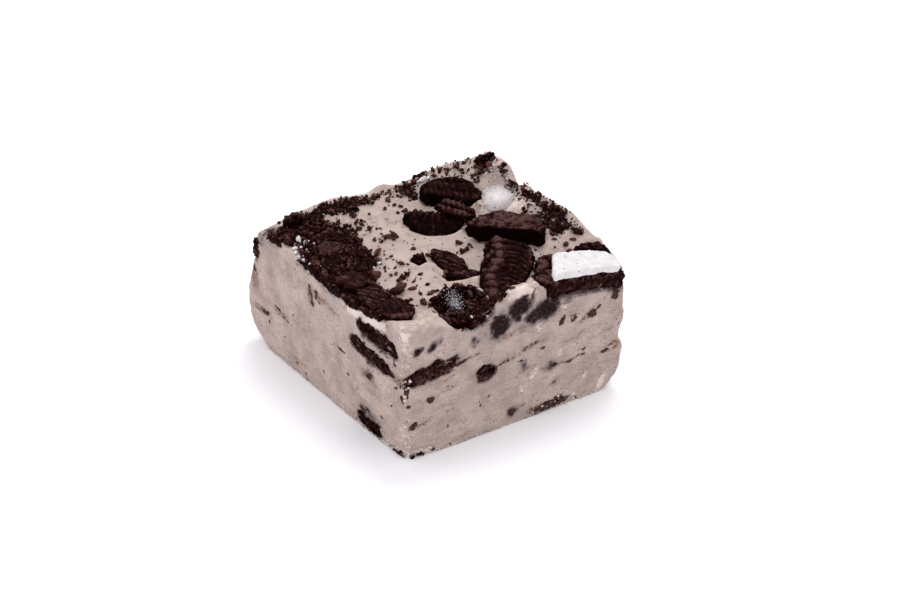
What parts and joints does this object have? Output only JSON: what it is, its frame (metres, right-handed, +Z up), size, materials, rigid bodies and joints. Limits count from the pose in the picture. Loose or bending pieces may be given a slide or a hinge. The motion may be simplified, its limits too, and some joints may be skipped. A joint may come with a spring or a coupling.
{
  "type": "cookies and cream fudge square",
  "caption": "Square of pale fudge with broken dark wafer pieces, crumbs, a cream sandwich corner and a cream lump sunk in its top; stands on its flat underside.",
  "frame": {"origin": "middle of the bounding box on the flat underside", "axes": "x from the left cut face to the right, y from the front cut face to the back, z up"},
  "size_m": [0.0504, 0.0584, 0.0334],
  "materials": {
    "fudge": "smooth, slightly greasy cut faces",
    "wafer": "baked, dry and crumbly",
    "cream": "matte, fine sugar grain"
  },
  "bodies": {
    "root": {"cream_lump": "cream", "fudge_block": "fudge", "sandwich_cream": "cream", "sandwich_scrap": "wafer", "sandwich_wafer": "wafer", "section_front_base": "wafer", "section_front_long": "wafer", "section_front_right": "wafer", "section_front_round": "wafer", "section_front_under_ridge": "wafer", "section_front_upper": "wafer", "section_left_base": "wafer", "section_left_corner": "wafer", "section_left_middle": "wafer", "section_left_upper": "wafer", "wafer_back": "wafer", "wafer_band_back": "wafer", "wafer_band_front": "wafer", "wafer_band_middle": "wafer", "wafer_chunk": "wafer", "wafer_fan": "wafer", "wafer_front_cluster": "wafer", "wafer_left_corner": "wafer", "wafer_lump_flake": "wafer", "wafer_ribbed": "wafer", "wafer_ridged": "wafer", "wafer_rim": "wafer", "wafer_slab": "wafer", "wafer_sliver": "wafer", "wafer_wedge": "wafer"}
  },
  "joints": []
}
